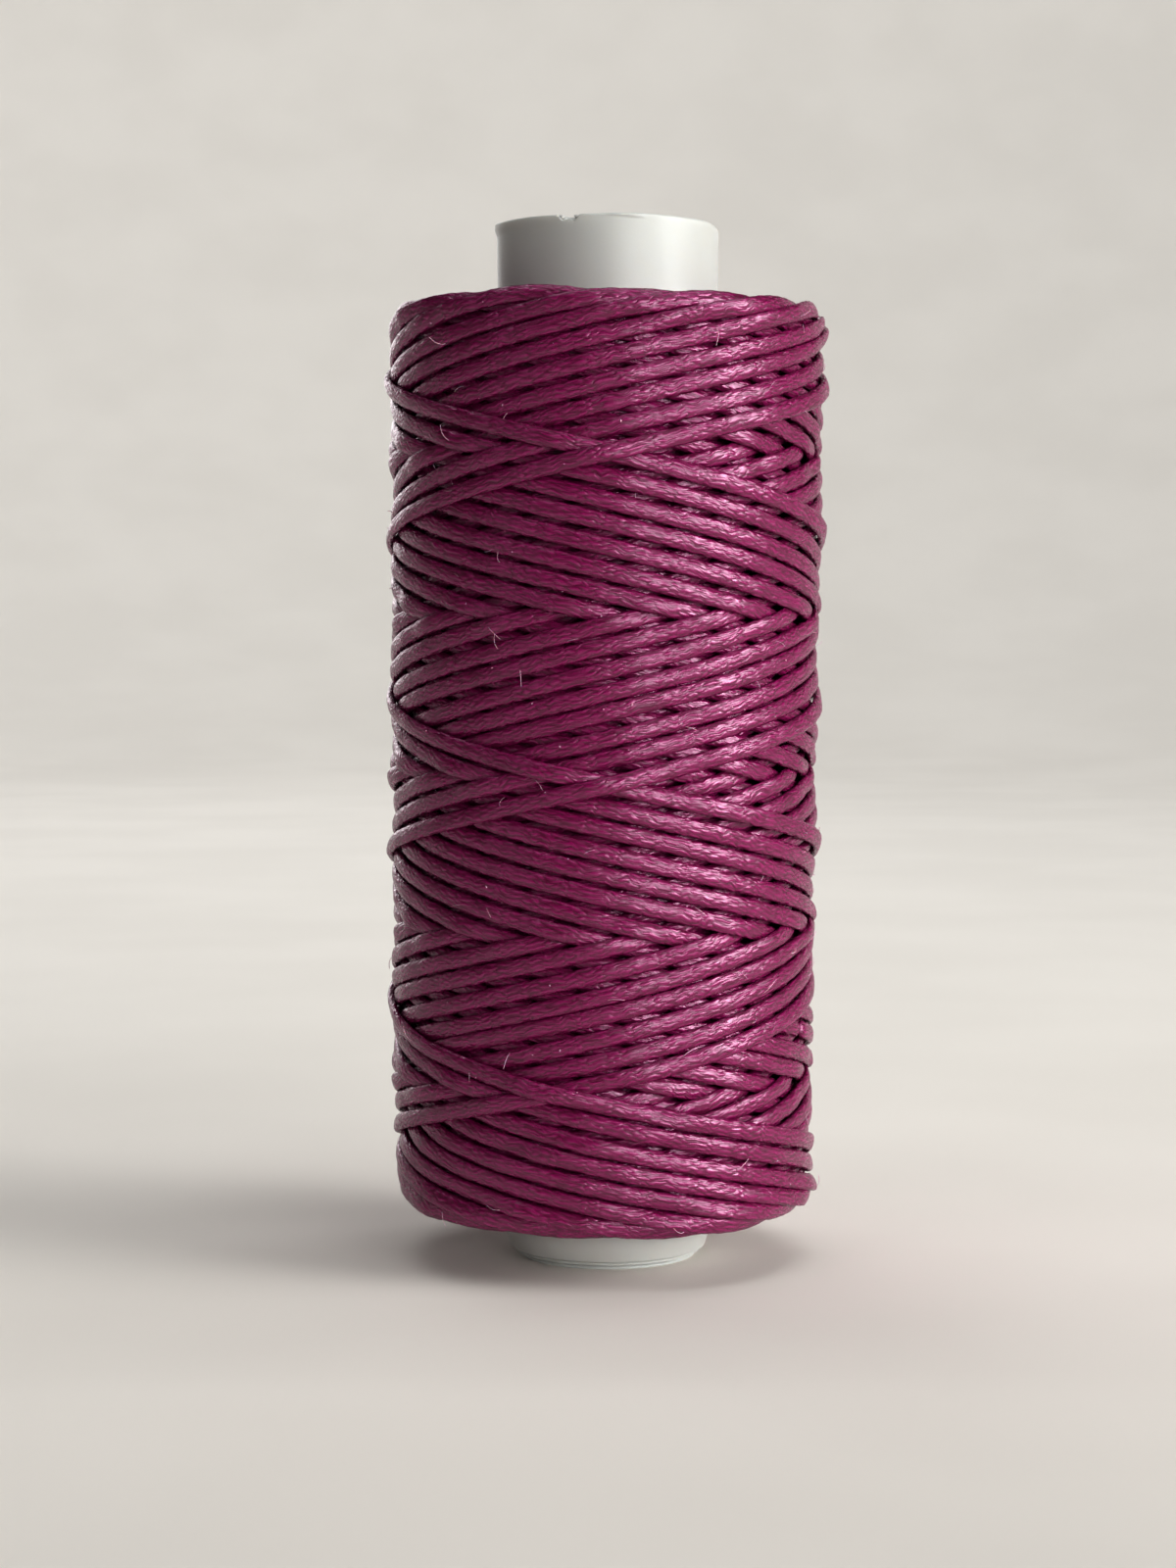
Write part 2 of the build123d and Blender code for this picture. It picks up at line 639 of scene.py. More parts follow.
@dataclass
class CrossWinder:
    """Lays one flat thread on the tube, stroke by stroke, each resting on what is there.

    The package is a field of heights over (angle, height up the tube). A pass finds the lowest
    place that its flat section can rest at, is pulled tight over its high spots, and then raises
    the field under itself. After each stroke the package settles to an even depth.
    """

    tube: CoreTube
    low: float
    high: float
    low_radius: float = 10.12
    high_radius: float = 10.42
    width: float = 0.85
    thickness: float = 0.42
    cycles: int = 86
    shift: float = 0.070
    turns_after_last_top: float = 2.03
    taper: float = 0.04
    top_round: float = 0.045
    low_round: float = 0.055
    reach_low: float = 0.45
    reach_high: float = 0.12
    columns: int = 240
    row_height: float = 0.05
    section_power: float = 2.2
    wander: float = 0.055
    firm_from: float = 1.0
    off_centre: float = -0.22
    seed: int = 7

    def __post_init__(self) -> None:
        """Works out the counts and lays out the empty field."""
        self.cycle_turns = 6 - self.shift
        self.turns = self.cycle_turns * (self.cycles - 0.5) + self.turns_after_last_top - 0.3
        self.floor = self.low - 1.5
        self.rows = int((self.high - self.low + 3.0) / self.row_height)
        self.row_heights = self.floor + self.row_height * np.arange(self.rows)
        self.wall = self.tube.wall_radius(self.row_heights)
        self.field = np.repeat(self.wall[None, :], self.columns, 0)

    def route(self) -> None:
        """Works out the angle and height of every point, from the first end to the last."""
        rng = np.random.default_rng(self.seed)
        count = int(round(self.turns * self.columns))
        tau = self.turns_after_last_top - np.arange(count, -1, -1) / self.columns
        half = self.cycle_turns / 2
        from_top = np.abs(np.mod(tau + half, 2 * half) - half) / half
        down = np.sqrt(from_top ** 2 + (self.top_round / half) ** 2)
        up = np.sqrt((1 - from_top) ** 2 + (self.low_round / half) ** 2)
        share = np.clip((from_top - 0.35) / 0.3, 0, 1)
        share = share * share * (3 - 2 * share)
        rise = (1 - share) * (1 - down) + share * up
        rise = rise + self.taper * rise * (rise - 1)
        bottom, top = self.low - self.reach_low, self.high + self.reach_high
        height = bottom + (top - bottom) * rise
        stroke = np.floor(tau / half + 2 * self.cycles + 1).astype(int)
        self.stroke = stroke - stroke.min()
        knots_per_stroke = 9
        knots = rng.normal(0, self.wander, (self.stroke.max() + 2) * knots_per_stroke)
        height += np.interp((tau - tau[0]) / half * knots_per_stroke, np.arange(len(knots)), knots)
        turnaround = np.floor(tau / half + 2 * self.cycles + 1.5).astype(int)
        reach = rng.normal(0, 0.09, turnaround.max() + 1)
        near = np.exp(-((np.mod(tau + half / 2, half) - half / 2) / 0.12) ** 2)
        self.heights = height + reach[turnaround] * near
        self.angles = 0.5 - tau
        self.tau = tau

    def full_depth(self) -> np.ndarray:
        """Works out the finished package, a slight cone with rounded shoulders.

        Returns:
            The depth of thread at each row.
        """
        grown = (self.row_heights - self.low) / (self.high - self.low)
        full = self.low_radius + (self.high_radius - self.low_radius) * grown - self.wall
        end = np.minimum(self.row_heights - self.low, self.high - self.row_heights)
        return full * (1 - 0.09 * np.clip(1 - end / 1.1, 0, 1) ** 2)

    def lay(self) -> None:
        """Lays every stroke in order, and works out each point's radius and lean."""
        self.route()
        count = len(self.tau)
        column = np.mod(np.round(self.angles * self.columns).astype(int), self.columns)
        reach = int(math.ceil(0.62 * self.width / self.row_height))
        window = np.arange(-reach, reach + 1)
        self.radii = np.zeros(count)
        self.leans = np.zeros(count)
        first = np.flatnonzero(np.diff(self.stroke)) + 1
        starts, ends = np.concatenate([[0], first]), np.concatenate([first, [count]])
        settle = np.ones((len(starts) + 1, self.rows))
        for number, (start, end) in enumerate(zip(starts, ends)):
            self.lay_stroke(start, end, column, window)
            settle[number + 1] = self.settle(number == len(starts) - 1)
        self.sink(starts, ends, settle)

    def lay_stroke(self, start: int, end: int, column: np.ndarray, window: np.ndarray) -> None:
        """Lays one stroke.

        Args:
            start: Its first point.
            end: One past its last point.
            column: The field's column under each point.
            window: The rows that a section may reach, from its centre's row.
        """
        lead = min(start, 12)
        at = np.arange(start - lead, end)
        row = (self.heights[at] - self.floor) / self.row_height
        rows = np.round(row).astype(int)[:, None] + window[None, :]
        inside_rows = np.clip(rows, 0, self.rows - 1)
        off = (rows - row[:, None]) * self.row_height
        radius = self.radii[start - 1] if start else self.tube.low_radius
        slope = np.abs(np.gradient(self.heights[at])) * self.columns / (TURN * radius)
        half = 0.5 * self.width * np.sqrt(1 + slope ** 2)[:, None]
        inside = np.abs(off) < half
        power = self.section_power
        section = np.clip(1 - np.abs(off / half) ** power, 0, None) ** (1 / power)
        section *= 0.5 * self.thickness
        under = self.field[column[at][:, None], inside_rows]
        tries = np.tan(np.radians(np.arange(-24, 25, 8)))
        rests = np.array([np.where(inside, under - off * t + section, -np.inf).max(1) + 0.02 * abs(t)
                          for t in tries])
        lean = smoothed(tries[rests.argmin(0)], 15)
        base = np.where(inside, under - off * lean[:, None] + section, -np.inf).max(1)
        step = TURN * base.mean() / self.columns
        sag = step * step / (2 * base.mean())
        tight = base.copy()
        tight[:lead] = self.radii[at[:lead]]
        for _ in range(400):
            tight[1:-1] = np.maximum(base[1:-1], 0.5 * (tight[:-2] + tight[2:]) - sag)
            tight[:lead] = self.radii[at[:lead]]
        laid = smoothed(tight, 7)[lead:]
        new = at[lead:]
        self.radii[new], self.leans[new] = laid, lean[lead:]
        top = laid[:, None] + off[lead:] * lean[lead:, None] + section[lead:]
        top = np.where(inside[lead:], top, -np.inf)
        columns = np.broadcast_to(column[new][:, None], top.shape)
        np.maximum.at(self.field, (columns, inside_rows[lead:]), top)

    def settle(self, last: bool) -> np.ndarray:
        """Presses the package to an even depth, without losing any of it.

        Args:
            last: Whether the package is finished, and so has its full depth.

        Returns:
            How much each row's depth was scaled.
        """
        depth = self.field - self.wall[None, :]
        mean = np.maximum(smoothed(depth.mean(0), 25), 0.01)
        low, high = self.low + self.firm_from, self.high - self.firm_from
        firm = (self.row_heights > low) & (self.row_heights < high)
        if mean[firm].mean() < 0.3:
            return np.ones(self.rows)
        full = self.full_depth()
        grown = mean[firm].sum() / full[firm].sum()
        if last:
            LOG.info("the package came to %.3f of its depth", grown)
            grown = 1.0
        scale = np.interp(self.row_heights, self.row_heights[firm], (full * grown / mean)[firm])
        self.field = self.wall[None, :] + depth * scale[None, :]
        return scale

    def sink(self, starts: np.ndarray, ends: np.ndarray, settle: np.ndarray) -> None:
        """Moves each laid point with the settling that came after it.

        Args:
            starts: The first point of each stroke.
            ends: One past the last point of each stroke.
            settle: The scale of each row's depth after each stroke.
        """
        total = np.ones(self.rows)
        for number in range(len(starts) - 1, -1, -1):
            total = total * settle[number + 1]
            span = slice(starts[number], ends[number])
            row = (self.heights[span] - self.floor) / self.row_height
            scale = np.interp(row, np.arange(self.rows), total)
            wall = self.tube.wall_radius(self.heights[span])
            self.radii[span] = wall + (self.radii[span] - wall) * scale

    def points(self) -> np.ndarray:
        """Turns the laid angles, radii and heights into places.

        Returns:
            Every point of the thread's middle, in metres.
        """
        turn = TURN * self.angles
        wall = self.tube.top_radius
        deep = np.clip((self.radii - wall) / (self.high_radius - wall), 0, 1)
        low = np.clip((self.high - self.heights) / (self.high - self.low) * 1.6, 0.35, 1)
        x = self.radii * np.sin(turn) + self.off_centre * deep * low
        return np.stack([x, -self.radii * np.cos(turn), self.heights], 1) * MM


def smoothed(values: np.ndarray, span: int) -> np.ndarray:
    """Smooths a row of numbers with a soft window.

    Args:
        values: The numbers.
        span: The window's length, an odd number.

    Returns:
        As many numbers again.
    """
    weights = np.hanning(span + 2)[1:-1]
    return np.convolve(np.pad(values, span // 2, mode="edge"), weights / weights.sum(), "valid")


@dataclass
class ThreadLength:
    """One length of the thread, as a flat closed tube along its own spline."""

    name: str
    first: int
    last: int
    stride: int
    sides: int
    node: str
    body: str = "root"
    route_step: float = 0.27

    def build(self, winder: CrossWinder) -> bpy.types.Object:
        """Sweeps the braid's section along the length.

        Args:
            winder: The winding that holds the whole route.

        Returns:
            The length's object.
        """
        pick = np.arange(self.first, self.last + 1, self.stride)
        if pick[-1] != self.last:
            pick = np.append(pick, self.last)
        route = winder.points()[pick]
        self.line = nurbs_line(self.name, route)
        far = distance_along(route)
        at = distance_along(self.line)
        lean = np.interp(at, far * at[-1] / far[-1], winder.leans[pick])
        return self.sweep(winder, lean, at / MM)

    def sweep(self, winder: CrossWinder, lean: np.ndarray, at: np.ndarray) -> bpy.types.Object:
        """Makes the tube's rings, faces and UV map.

        Args:
            winder: The winding, for the section's size.
            lean: The lean of the section at each ring.
            at: How far along each ring is, in millimetres.

        Returns:
            The length's object.
        """
        line = self.line
        run = np.gradient(line, axis=0)
        run /= np.linalg.norm(run, axis=1)[:, None]
        out = line * np.array([1, 1, 0])
        out /= np.linalg.norm(out, axis=1)[:, None]
        out -= (out * run).sum(1)[:, None] * run
        out /= np.linalg.norm(out, axis=1)[:, None]
        side = np.cross(run, out)
        side *= np.sign(side[:, 2:3])
        roll = np.arctan(lean)[:, None]
        wide = side * np.cos(roll) + out * np.sin(roll)
        face = out * np.cos(roll) - side * np.sin(roll)

        around = self.section(winder)
        lumps = 1 + 0.03 * np.sin(TURN * at / 0.9)
        end = np.clip(np.minimum(at - at[0], at[-1] - at) / 0.3 + 0.25, 0, 1) ** 0.5
        across = around[None, :, 0] * lumps[:, None] * end[:, None]
        thick = around[None, :, 1] * end[:, None]
        spread = wide[:, None, :] * across[..., None] + face[:, None, :] * thick[..., None]
        return self.skin(line[:, None, :] + spread * MM, at, around)

    def section(self, winder: CrossWinder) -> np.ndarray:
        """The braid's flat section, with a shallow dip down the middle of each side.

        Args:
            winder: The winding, for the section's size.

        Returns:
            Points as (across, through), in millimetres, once round.
        """
        turn = TURN * (np.arange(self.sides) + 0.5) / self.sides
        power = 2 / winder.section_power
        across = np.sign(np.cos(turn)) * np.abs(np.cos(turn)) ** power
        through = np.sign(np.sin(turn)) * np.abs(np.sin(turn)) ** power
        dip = 1 - 0.05 * np.exp(-(across / 0.35) ** 2)
        return np.stack([0.5 * winder.width * across, 0.5 * winder.thickness * through * dip], 1)

    def skin(self, rings: np.ndarray, at: np.ndarray, around: np.ndarray) -> bpy.types.Object:
        """Joins the rings into a closed skin with a UV map along the thread.

        Args:
            rings: The rings' points, in metres.
            at: How far along each ring is, in millimetres.
            around: The section's points.

        Returns:
            The skin's object.
        """
        count, sides = rings.shape[:2]
        here = np.arange(count - 1)[:, None] * sides
        j = np.arange(sides)[None, :]
        k = np.roll(j, -1, 1)
        quads = np.stack([here + j, here + k, here + sides + k, here + sides + j], 2).reshape(-1, 4)
        faces = quads.tolist()
        faces.append(list(range(sides))[::-1])
        faces.append([(count - 1) * sides + side for side in range(sides)])
        made = mesh_object(self.name, rings.reshape(-1, 3), faces)
        edge = np.linalg.norm(np.diff(np.vstack([around, around[:1]]), axis=0), axis=1)
        round_to = np.concatenate([[0], np.cumsum(edge)])
        # V is zero at the middle of the outer face, so the braid's pattern is even about it.
        centre = round_to[sides // 4]
        u = at + self.first * self.route_step
        shape = (count - 1, sides)
        start, end = (np.broadcast_to(row[:, None], shape) for row in (u[:-1], u[1:]))
        near, far = (np.broadcast_to(row, shape) for row in (round_to[:-1], round_to[1:]))
        uv = np.stack([start, near, start, far, end, far, end, near], 2).reshape(-1, 2)
        uv[:, 1] -= centre
        caps = np.zeros((2 * sides, 2))
        layer = made.data.uv_layers.new(name=WaxedThreadFinish.uv_map)
        layer.data.foreach_set("uv", np.vstack([uv, caps]).astype(np.float32).ravel())
        orient_outwards(made)
        return made

    def declare(self, piece: bpy.types.Object, size: float) -> None:
        """Gives the length its place in the frame, and hides the CAD part that it stands for.

        Args:
            piece: The length's object.
            size: The thread's width, in millimetres; not used.
        """
        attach(piece, self.body)
        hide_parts(self.node)


def orient_outwards(piece: bpy.types.Object) -> None:
    """Turns a closed mesh's faces outwards if its volume says that they point in.

    Args:
        piece: The mesh object.
    """
    mesh = piece.data
    mesh.calc_loop_triangles()
    points = np.zeros(len(mesh.vertices) * 3)
    mesh.vertices.foreach_get("co", points)
    corners = np.zeros(len(mesh.loop_triangles) * 3, np.int32)
    mesh.loop_triangles.foreach_get("vertices", corners)
    a, b, c = points.reshape(-1, 3)[corners.reshape(-1, 3)].transpose(1, 0, 2)
    if (a * np.cross(b, c)).sum() < 0:
        mesh.flip_normals()


def distance_along(points: np.ndarray) -> np.ndarray:
    """How far along a line each of its points is."""
    return np.concatenate([[0], np.cumsum(np.linalg.norm(np.diff(points, axis=0), axis=1))])


def nurbs_line(name: str, route: np.ndarray) -> np.ndarray:
    """Reads the smooth line of a NURBS spline with these control points.

    Args:
        name: The curve's name.
        route: The control points, in metres.

    Returns:
        The points that Blender gives for the bare curve.
    """
    curve = bpy.data.curves.new(f"{name}_route", "CURVE")
    curve.dimensions = "3D"
    spline = curve.splines.new("NURBS")
    spline.points.add(len(route) - 1)
    weighted = np.hstack([route, np.ones((len(route), 1))])
    spline.points.foreach_set("co", weighted.astype(np.float32).ravel())
    spline.order_u = 3
    spline.use_endpoint_u = True
    spline.resolution_u = 1
    carrier = bpy.data.objects.new(f"{name}_route", curve)
    bare = bpy.data.meshes.new_from_object(carrier)
    points = np.zeros(len(bare.vertices) * 3, np.float32)
    bare.vertices.foreach_get("co", points)
    bpy.data.meshes.remove(bare)
    bpy.data.objects.remove(carrier)
    bpy.data.curves.remove(curve)
    points = points.reshape(-1, 3).astype(float)
    apart = np.concatenate([[True], np.linalg.norm(np.diff(points, axis=0), axis=1) > 1e-7])
    return points[apart]


@dataclass
class ThreadPackage:
    """The whole thread on the tube, as lengths from the first end to the last."""

    winder: CrossWinder
    outer_cycles: float = 14.6
    middle_cycles: float = 14.6
    lengths: list[ThreadLength] = field(default_factory=list)
    pieces: list[bpy.types.Object] = field(default_factory=list)

    def plan(self) -> None:
        """Shares the route out into lengths that are each a manageable mesh."""
        w = self.winder
        last = len(w.tau) - 1
        cycle = w.cycle_turns * w.columns
        outer_from = int(last - self.outer_cycles * cycle)
        middle_from = int(outer_from - self.middle_cycles * cycle)
        for depth, first, end, stride, sides, count, node in (
            (Depth.INNER, 0, middle_from, 6, 8, 2, "inner_thread_layers"),
            (Depth.MIDDLE, middle_from, outer_from, 2, 10, 2, "outer_thread_layers"),
            (Depth.OUTER, outer_from, last, 1, 12, 3, "outer_thread_layers"),
        ):
            cuts = np.linspace(first, end, count + 1).astype(int)
            for number in range(count):
                name = f"{depth.value}_{number + 1}"
                self.lengths.append(ThreadLength(name, cuts[number], cuts[number + 1], stride, sides, node))

    def build(self) -> None:
        """Winds the thread and makes its lengths."""
        self.winder.lay()
        self.plan()
        self.pieces = [length.build(self.winder) for length in self.lengths]

    def tack_end(self, material: bpy.types.Material) -> bpy.types.Object:
        """Melts the last end into a small bead, which holds it to the thread under it.

        Args:
            material: The thread's material.

        Returns:
            The bead.
        """
        points, faces = lump(np.random.default_rng(3), 0.5, 8, 12)
        at = self.winder.points()[-1]
        out = np.array([at[0], at[1], 0.0]) / math.hypot(at[0], at[1])
        side = np.array([-out[1], out[0], 0.0])
        # It lies flat on the package: thin through it and a little longer along the thread.
        bead = at + (points[:, :1] * side * 1.25 + points[:, 1:2] * np.array([0, 0, 0.9])
                     + points[:, 2:] * out * 0.8) * MM
        piece = mesh_object("tacked_end", bead, faces, material)
        orient_outwards(piece)
        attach(piece, "root")
        return piece

    def dress(self, finish: WaxedThreadFinish) -> None:
        """Args:
            finish: The thread's finish.
        """
        material = finish.make()
        self.tack_end(SpeckFinish("melted_thread_end", (0.16, 0.008, 0.055, 1.0), 0.35).make())
        for length, piece in zip(self.lengths, self.pieces):
            piece.data.materials.append(material)
            length.declare(piece, self.winder.width)


# ---------------------------------------------------------------------------
# Loose fibres and wax
# ---------------------------------------------------------------------------


@dataclass
class Scatter:
    """Small things strewn by Geometry Nodes on the outward faces of some lengths of thread."""

    name: str
    finish: SpeckFinish
    per_square_mm: float
    least: float
    most: float
    seed: int
    body: str = "root"

    def shape(self, s: NodeSheet) -> bpy.types.NodeSocket:
        """Makes the thing that is strewn, about 1 mm long.

        Args:
            s: The node sheet.

        Returns:
            Its mesh.
        """
        raise NotImplementedError

    def outward(self, s: NodeSheet) -> bpy.types.NodeSocket:
        """Picks the faces that look away from the tube's axis.

        Args:
            s: The node sheet.

        Returns:
            The selection's socket.
        """
        flat = s.scaled(s.add("GeometryNodeInputPosition").outputs[0], (1.0, 1.0, 0.0))
        away = s.wired("ShaderNodeVectorMath", {0: flat}, operation="NORMALIZE")
        normal = s.add("GeometryNodeInputNormal").outputs[0]
        along = s.wired("ShaderNodeVectorMath", {0: away.outputs[0], 1: normal}, operation="DOT_PRODUCT")
        return s.math("GREATER_THAN", along.outputs["Value"], 0.75)

    def tree(self) -> tuple[bpy.types.NodeTree, dict[str, str]]:
        """Builds the node tree.

        Returns:
            The tree, and its inputs' identifiers by their names.
        """
        tree = bpy.data.node_groups.new(self.name, "GeometryNodeTree")
        sides = tree.interface
        sides.new_socket("Geometry", in_out="INPUT", socket_type="NodeSocketGeometry")
        named = {}
        for name, kind in (("Density", "NodeSocketFloat"), ("Least size", "NodeSocketFloat"),
                           ("Most size", "NodeSocketFloat"), ("Seed", "NodeSocketInt"),
                           ("Material", "NodeSocketMaterial")):
            named[name] = sides.new_socket(name, in_out="INPUT", socket_type=kind).identifier
        sides.new_socket("Geometry", in_out="OUTPUT", socket_type="NodeSocketGeometry")

        s = NodeSheet(tree)
        given, done = s.add("NodeGroupInput").outputs, s.add("NodeGroupOutput").inputs
        seed = given["Seed"]
        points = s.wired("GeometryNodeDistributePointsOnFaces", {
            "Mesh": given["Geometry"], "Selection": self.outward(s), "Density": given["Density"],
            "Seed": seed})
        size = s.wired("FunctionNodeRandomValue", {2: given["Least size"], 3: given["Most size"],
                                                   "Seed": seed}, data_type="FLOAT")
        spin = s.wired("FunctionNodeRandomValue", {0: (-0.25, -0.25, 0.0), 1: (0.25, 0.25, TURN),
                                                   "Seed": seed}, data_type="FLOAT_VECTOR")
        turned = s.wired("FunctionNodeRotateRotation", {0: points.outputs["Rotation"], 1: spin.outputs[0]},
                         rotation_space="LOCAL")
        strewn = s.wired("GeometryNodeInstanceOnPoints", {
            "Points": points.outputs["Points"], "Instance": self.shape(s),
            "Rotation": turned.outputs[0], "Scale": size.outputs[1]})
        real = s.wired("GeometryNodeRealizeInstances", {0: strewn.outputs[0]})
        coated = s.wired("GeometryNodeSetMaterial", {"Geometry": real.outputs[0],
                                                     "Material": given["Material"]})
        s.link(coated.outputs[0], done[0])
        return tree, named

    def strew(self, surface: bpy.types.Object) -> bpy.types.Object:
        """Strews the things on a surface and makes them one piece of their own.

        Args:
            surface: The object whose faces they lie on.

        Returns:
            The new piece.
        """
        tree, named = self.tree()
        worn = surface.modifiers.new(self.name, "NODES")
        worn.node_group = tree
        settings = {"Density": self.per_square_mm * 1e6, "Least size": self.least * MM,
                    "Most size": self.most * MM, "Seed": self.seed, "Material": self.finish.make()}
        for name, value in settings.items():
            worn[named[name]] = value
        surface.update_tag()
        seen = surface.evaluated_get(bpy.context.evaluated_depsgraph_get())
        mesh = bpy.data.meshes.new_from_object(seen)
        surface.modifiers.remove(worn)
        mesh.name = self.name
        piece = bpy.data.objects.new(self.name, mesh)
        bpy.context.scene.collection.objects.link(piece)
        orient_outwards(piece)
        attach(piece, self.body)
        LOG.info("%s: %d faces", self.name, len(mesh.polygons))
        return piece


@dataclass
class LooseFibres(Scatter):
    """Fine filament ends that stand off the thread."""

    def shape(self, s: NodeSheet) -> bpy.types.NodeSocket:
        """Makes one bent filament.

        Args:
            s: The node sheet.

        Returns:
            Its mesh.
        """
        bend = s.wired("GeometryNodeCurveQuadraticBezier", {
            "Resolution": 7, "Start": (0.0, 0.0, -0.05), "Middle": (0.35, 0.12, 0.30),
            "End": (0.95, -0.10, 0.12)})
        edge = s.wired("GeometryNodeCurvePrimitiveCircle", {"Resolution": 4, "Radius": 0.018})
        swept = s.wired("GeometryNodeCurveToMesh", {
            "Curve": bend.outputs[0], "Profile Curve": edge.outputs["Curve"], "Fill Caps": True})
        return swept.outputs[0]


@dataclass
class WaxSpecks(Scatter):
    """Small pale crumbs of wax that the thread has shed."""

    def shape(self, s: NodeSheet) -> bpy.types.NodeSocket:
        """Makes one flat crumb.

        Args:
            s: The node sheet.

        Returns:
            Its mesh.
        """
        ball = s.wired("GeometryNodeMeshIcoSphere", {"Radius": 0.5, "Subdivisions": 1})
        flat = s.wired("GeometryNodeTransform", {"Geometry": ball.outputs["Mesh"],
                                                 "Scale": (1.0, 0.6, 0.35)})
        return flat.outputs[0]


# ---------------------------------------------------------------------------
# Studio
# ---------------------------------------------------------------------------


@dataclass
class Studio:
    """A pale floor that sweeps up all round, soft lights on the spool and washes on the sweep."""

    eye_distance: float = 150.5
    eye_height: float = 31.9
    eye_side: float = -0.956
    pitch: float = 3.37
    lens: float = 70.9
    floor_radius: float = 420.0
    sweep_radius: float = 380.0
    wall_height: float = 420.0
    front_wall: float = 0.2
    rise_from: float = 0.2
    rise: float = 2.6
    wash_distance: float = 160.0
    wash_height: float = 520.0
    wash_size: tuple[float, float] = (600.0, 160.0)
    aim_height: float = 24.0

    def build_camera(self) -> bpy.types.Object:
        """Sets the camera at the viewing place.

        Returns:
            The camera.
        """
        data = bpy.data.cameras.new("camera")
        data.lens = self.lens
        data.sensor_width = 36.0
        data.clip_start, data.clip_end = 0.005, 20.0
        camera = bpy.data.objects.new("camera", data)
        bpy.context.scene.collection.objects.link(camera)
        camera.location = Vector((self.eye_side, -self.eye_distance, self.eye_height)) * MM
        camera.rotation_euler = (math.radians(90 - self.pitch), 0, 0)
        bpy.context.scene.camera = camera
        return camera

    def build_floor(self) -> None:
        """Makes the floor and its sweep."""
        profile = [(r, 0.0) for r in np.linspace(0.0, self.floor_radius, 12)[1:]]
        for turn in np.linspace(0, 0.5 * math.pi, 16)[1:]:
            profile.append((self.floor_radius + self.sweep_radius * math.sin(turn),
                            self.sweep_radius * (1 - math.cos(turn))))
        profile.append((self.floor_radius + self.sweep_radius, self.wall_height))
        sides, points, faces = 96, [(0.0, 0.0, 0.0)], []
        for radius, height in profile:
            for side in range(sides):
                a = TURN * side / sides
                away = 0.5 + 0.5 * math.sin(a)
                share = self.front_wall + self.rise * max(0.0, away - self.rise_from)
                points.append((radius * math.cos(a), radius * math.sin(a), height * min(1.0, share)))
        for side in range(sides):
            nxt = (side + 1) % sides
            faces.append((0, 1 + side, 1 + nxt))
            for ring in range(len(profile) - 1):
                a, b = 1 + ring * sides, 1 + (ring + 1) * sides
                faces.append((a + side, b + side, b + nxt, a + nxt))
        material, s, shader = new_material("pale_floor")
        place = s.add("ShaderNodeTexCoord").outputs["Object"]
        soft = s.noise(place, 30.0, 2.0)
        tone = s.blend(s.ramp(soft, 0.3, 0.7), (0.84, 0.805, 0.755, 1), (0.87, 0.835, 0.785, 1))
        s.fill(shader, {"Base Color": tone, "Roughness": 0.9, "Specular IOR Level": 0.1})
        floor = mesh_object("floor", np.array(points) * MM, faces, material)

    def add_light(self, name: str, azimuth: float, elevation: float, distance: float,
                  size: tuple[float, float], power: float, colour: tuple[float, float, float],
                  spread: float = 180) -> None:
        """Adds a soft rectangular light that faces the spool.

        Args:
            name: Its name.
            azimuth: Degrees round from the front towards the right.
            elevation: Degrees above the floor.
            distance: How far away it is, in millimetres.
            size: Its width and height, in millimetres.
            power: Its power, in watts.
            colour: Its colour.
            spread: How wide its beam is, in degrees, as behind a softbox's grid.
        """
        out = self.direction(azimuth, elevation)
        place = out * distance + Vector((0, 0, self.aim_height))
        self.place_light(name, place, out, size, power, colour, spread)

    def add_wash(self, name: str, azimuth: float, power: float, tilt: float = -30) -> None:
        """Adds a light that shines away from the spool, on the sweep behind it.

        Args:
            name: Its name.
            azimuth: The way it shines, in degrees round from the front towards the right.
            power: Its power, in watts.
            tilt: How far up it shines, in degrees.
        """
        place = self.direction(azimuth, 0) * self.wash_distance + Vector((0, 0, self.wash_height))
        self.place_light(name, place, -self.direction(azimuth, tilt), self.wash_size, power,
                         (0.97, 0.985, 1.0))

    def direction(self, azimuth: float, elevation: float) -> Vector:
        """The direction at an azimuth and an elevation."""
        a, e = math.radians(azimuth), math.radians(elevation)
        return Vector((math.sin(a) * math.cos(e), -math.cos(a) * math.cos(e), math.sin(e)))

    def place_light(self, name: str, place: Vector, back: Vector, size: tuple[float, float],
                    power: float, colour: tuple[float, float, float], spread: float = 180) -> None:
        """Makes a rectangular light.

        Args:
            name: Its name.
            place: Where it is, in millimetres.
            back: The direction behind it.
            size: Its width and height, in millimetres.
            power: Its power, in watts.
            colour: Its colour.
            spread: How wide its beam is, in degrees.
        """
        data = bpy.data.lights.new(name, "AREA")
        data.spread = math.radians(spread)
        data.shape = "RECTANGLE"
        data.size, data.size_y = size[0] * MM, size[1] * MM
        data.energy = power
        data.color = colour
        light = bpy.data.objects.new(name, data)
        bpy.context.scene.collection.objects.link(light)
        light.location = place * MM
        light.rotation_euler = back.to_track_quat("Z", "Y").to_euler()
        light.visible_camera = False

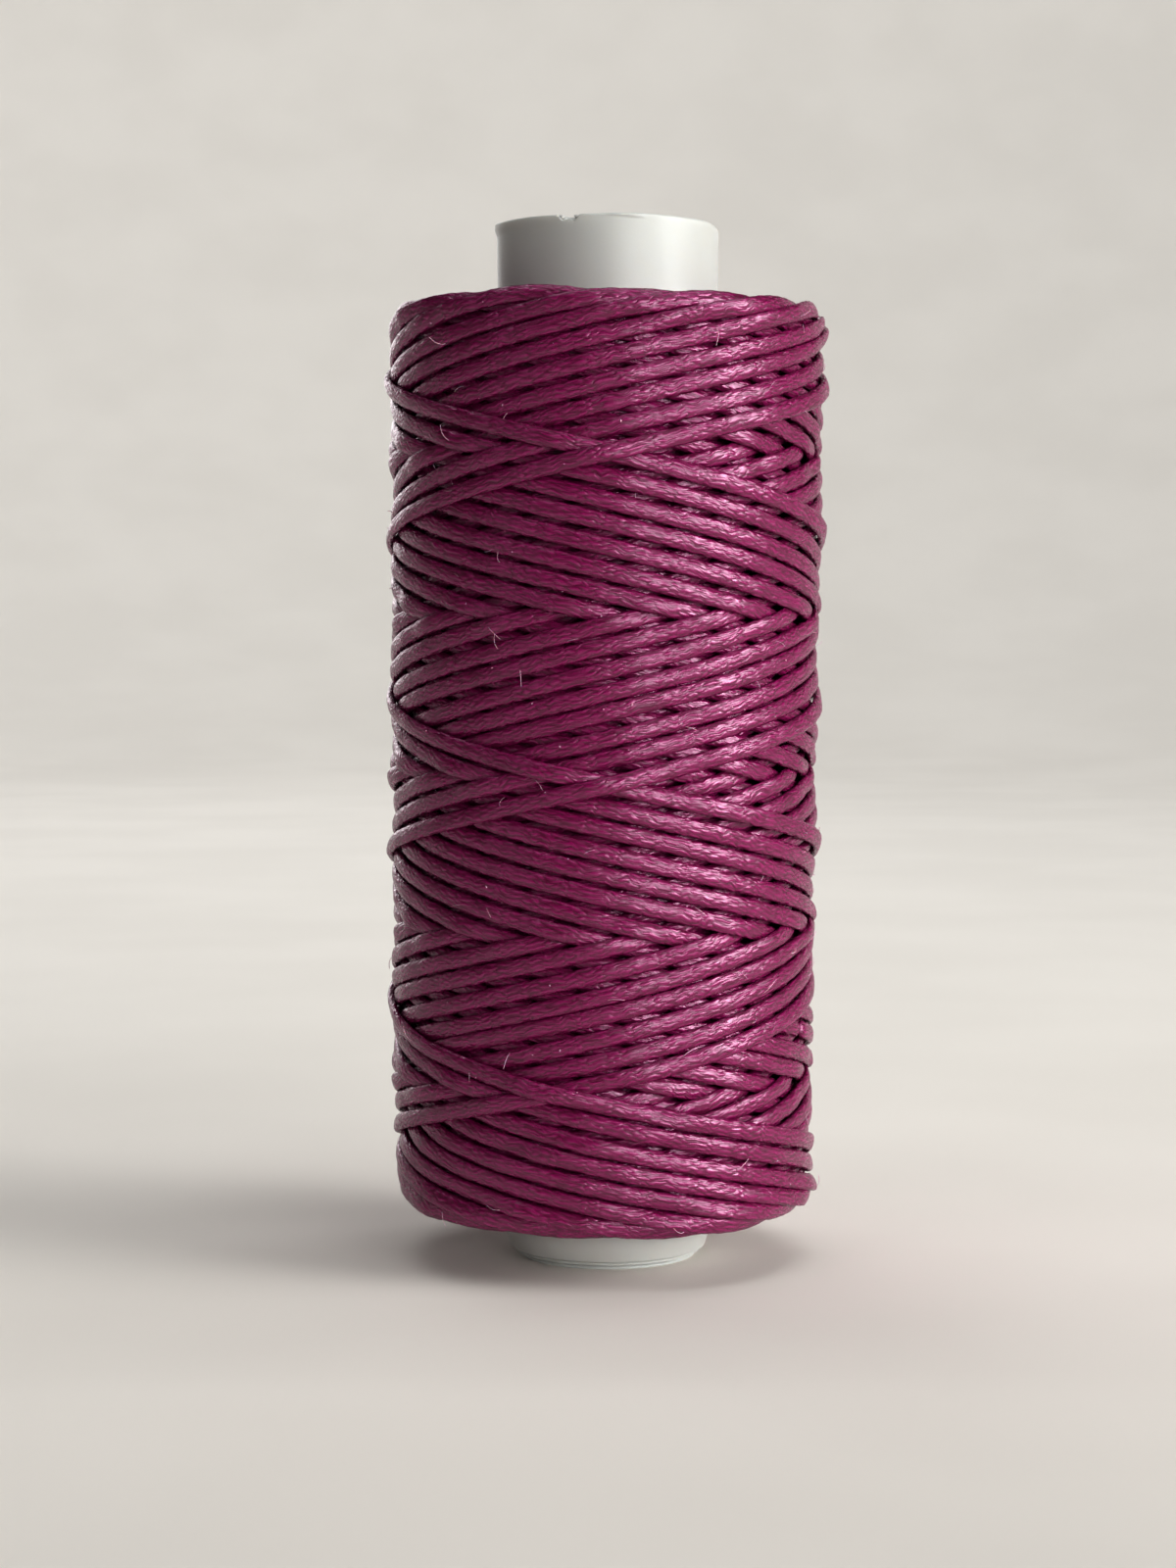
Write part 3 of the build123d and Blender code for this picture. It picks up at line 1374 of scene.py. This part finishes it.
    def build_lights(self) -> None:
        """Lights the spool, mostly from its right and its front, and washes the sweep all round."""
        self.add_light("key", 66, 12, 420, (160, 140), 0.037, (0.99, 1.0, 0.985), 40)
        self.add_light("key_front", 36, 27, 420, (280, 150), 0.024, (0.99, 1.0, 0.985), 60)
        self.add_light("low_front", 28, 7, 420, (320, 100), 0.090, (1.0, 0.995, 0.98), 50)
        self.add_light("high", 72, 22, 500, (400, 160), 0.160, (1.0, 0.995, 0.98), 50)
        self.add_light("left", -50, 20, 450, (260, 200), 0.009, (1.0, 0.995, 0.98), 50)
        self.add_light("top", 90, 84, 520, (420, 420), 0.09, (1.0, 0.99, 0.97))
        self.add_light("back", -160, 16, 480, (280, 240), 0.036, (0.98, 0.99, 1.0), 50)
        self.add_wash("wash_back", 180, 3.0)
        self.add_wash("wash_right", 62, 0.5)
        self.add_wash("wash_left", -90, 0.12, -42)
        self.add_wash("wash_front", 20, 0.65, -44)
        world = bpy.data.worlds.new("studio")
        bpy.context.scene.world = world
        world.use_nodes = True
        back = world.node_tree.nodes["Background"]
        back.inputs["Color"].default_value = (0.95, 0.97, 1.0, 1.0)
        back.inputs["Strength"].default_value = 0.006
        view = bpy.context.scene.view_settings
        view.view_transform = "Standard"
        view.look = "None"
        view.gamma = 0.80
        view.exposure = 0.18

    def build(self) -> None:
        """Builds the camera, the floor and the lights."""
        self.build_camera()
        self.build_floor()
        self.build_lights()


# ---------------------------------------------------------------------------
# Making
# ---------------------------------------------------------------------------


def corners(box: tuple[Vector, Vector]) -> list[list[float]]:
    """A box's two corners as plain lists."""
    return [list(box[0]), list(box[1])]


def main() -> None:
    """Builds the spool piece by piece."""
    logging.basicConfig(level=logging.INFO, format="%(name)s: %(message)s")
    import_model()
    Studio().build()
    LOG.info("studio ready")

    tube_low, tube_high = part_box("core_tube")
    package_low, package_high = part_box("outer_thread_layers")
    tube = CoreTube(height=(tube_high.z - tube_low.z) / MM)
    tube.build()
    tube.dress(TubeFinish())
    LOG.info("core tube ready")

    winder = CrossWinder(tube, low=package_low.z / MM, high=package_high.z / MM)
    package = ThreadPackage(winder)
    package.build()
    package.dress(WaxedThreadFinish())
    LOG.info("thread ready: %.2f m", distance_along(winder.points())[-1])

    for number, surface in enumerate(package.pieces[-2:]):
        LooseFibres(f"loose_fibres_{number + 1}", SpeckFinish("pale_filament", (0.66, 0.42, 0.52, 1.0)),
                    0.06, 0.35, 0.95, 5 + number).strew(surface)
        WaxSpecks(f"wax_specks_{number + 1}", SpeckFinish("pale_wax", (0.60, 0.36, 0.47, 1.0)),
                  0.11, 0.05, 0.15, 9 + number).strew(surface)
    LOG.info("loose fibres and wax ready")


if __name__ == "__main__":
    main()
